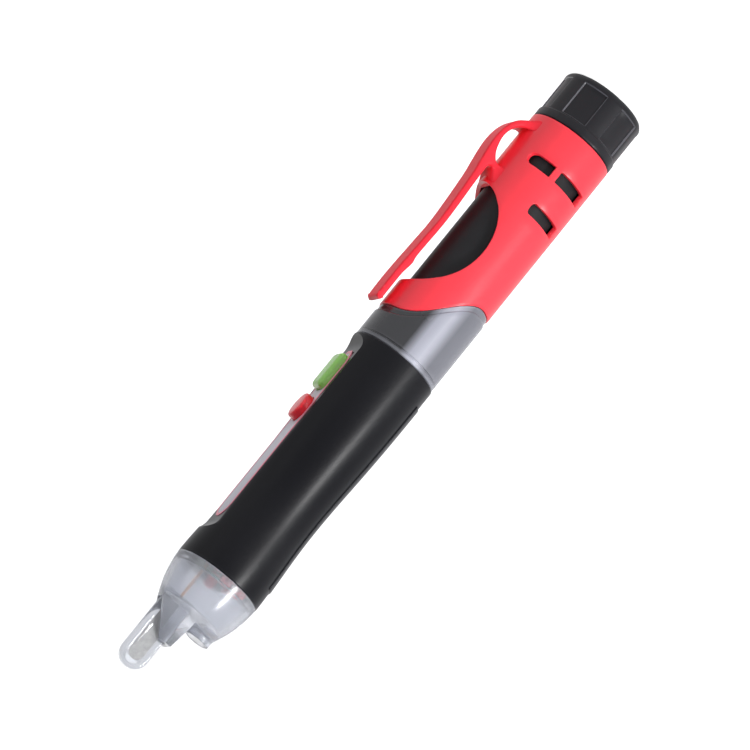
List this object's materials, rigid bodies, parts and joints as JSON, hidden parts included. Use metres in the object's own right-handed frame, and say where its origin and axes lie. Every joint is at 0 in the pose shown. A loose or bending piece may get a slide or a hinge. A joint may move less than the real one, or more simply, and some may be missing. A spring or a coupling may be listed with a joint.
{
  "type": "non contact voltage tester",
  "caption": "Pen-shaped voltage tester with a clear flat probe, lamp nose, press buttons, pocket clip with lanyard eye and a screw cap over in-line cells.",
  "frame": {"origin": "centre of the end cap's flat end face", "axes": "+Z along the pen from the end cap towards the probe tip, -Y towards the buttons and the pocket clip"},
  "size_m": [0.0206, 0.025, 0.16],
  "materials": {
    "black_plastic": "satin moulded ABS",
    "cap_plastic": "satin moulded ABS with fine grain",
    "red_plastic": "semi-gloss moulded ABS",
    "smoky_plastic": "smoky translucent polycarbonate",
    "frosted_clear": "frosted clear polycarbonate",
    "clear_plastic": "clear polycarbonate",
    "panel_grey": "matt inlay with a pink-red border",
    "button_red": "translucent red button",
    "button_green": "translucent lime green button",
    "spring_steel": "nickel-plated spring steel",
    "cell_jacket": "foil jacket",
    "rubber_black": "matt rubber",
    "circuit_green": "solder-masked board",
    "component_black": "moulded component",
    "led_red": "red diffused diode",
    "sensor_metal": "silver-grey foil plate",
    "copper": "bare copper lead"
  },
  "bodies": {
    "housing": {"cap_seal": "rubber_black", "battery_tube": "black_plastic", "battery_lower": "cell_jacket", "battery_upper": "cell_jacket", "ground_strip": "spring_steel", "clip_sleeve": "red_plastic", "light_ring": "smoky_plastic", "grip_housing": "black_plastic", "back_plate": "black_plastic", "front_panel": "panel_grey", "snap_domes": "spring_steel", "main_board": "circuit_green", "circuit_carrier": "black_plastic", "positive_contact": "spring_steel", "buzzer": "component_black", "control_chip": "component_black", "led_board": "circuit_green", "indicator_leds": "led_red", "lamp_led": "clear_plastic", "lamp_lens": "clear_plastic", "sensor_plate": "sensor_metal", "sensor_lead": "copper", "probe_blade": "clear_plastic", "nose_cone": "frosted_clear"},
    "cap_contact": {"cap_contact": "spring_steel", "battery_spring": "spring_steel"},
    "end_cap": {"end_cap": "cap_plastic"},
    "clip_arm": {"clip_arm": "red_plastic"},
    "red_button": {"red_button": "button_red"},
    "green_button": {"green_button": "button_green"}
  },
  "joints": [
    {"name": "cap_lift", "type": "slide", "parent": "housing", "child": "cap_contact", "axis": [0, 0, -1], "range_m": [0, 0.003]},
    {"name": "cap_turn", "type": "hinge", "parent": "cap_contact", "child": "end_cap", "pos_m": [0, 0, 0], "axis": [0, 0, -1], "range_deg": [0, 540]},
    {"name": "clip_flex", "type": "hinge", "parent": "housing", "child": "clip_arm", "pos_m": [0, -0.01275, 0.029], "axis": [1, 0, 0], "range_deg": [0, 4], "stiffness_Nm_per_rad": 1.5},
    {"name": "red_press", "type": "slide", "parent": "housing", "child": "red_button", "axis": [0, 1, 0], "range_m": [0, 0.0004], "stiffness_N_per_m": 1000, "springref_m": -0.0003},
    {"name": "green_press", "type": "slide", "parent": "housing", "child": "green_button", "axis": [0, 1, 0], "range_m": [0, 0.0004], "stiffness_N_per_m": 1000, "springref_m": -0.0003}
  ],
  "couplings": [
    {"joint": "cap_lift", "follows": "cap_turn", "m_per_rad": 0.0003183}
  ]
}
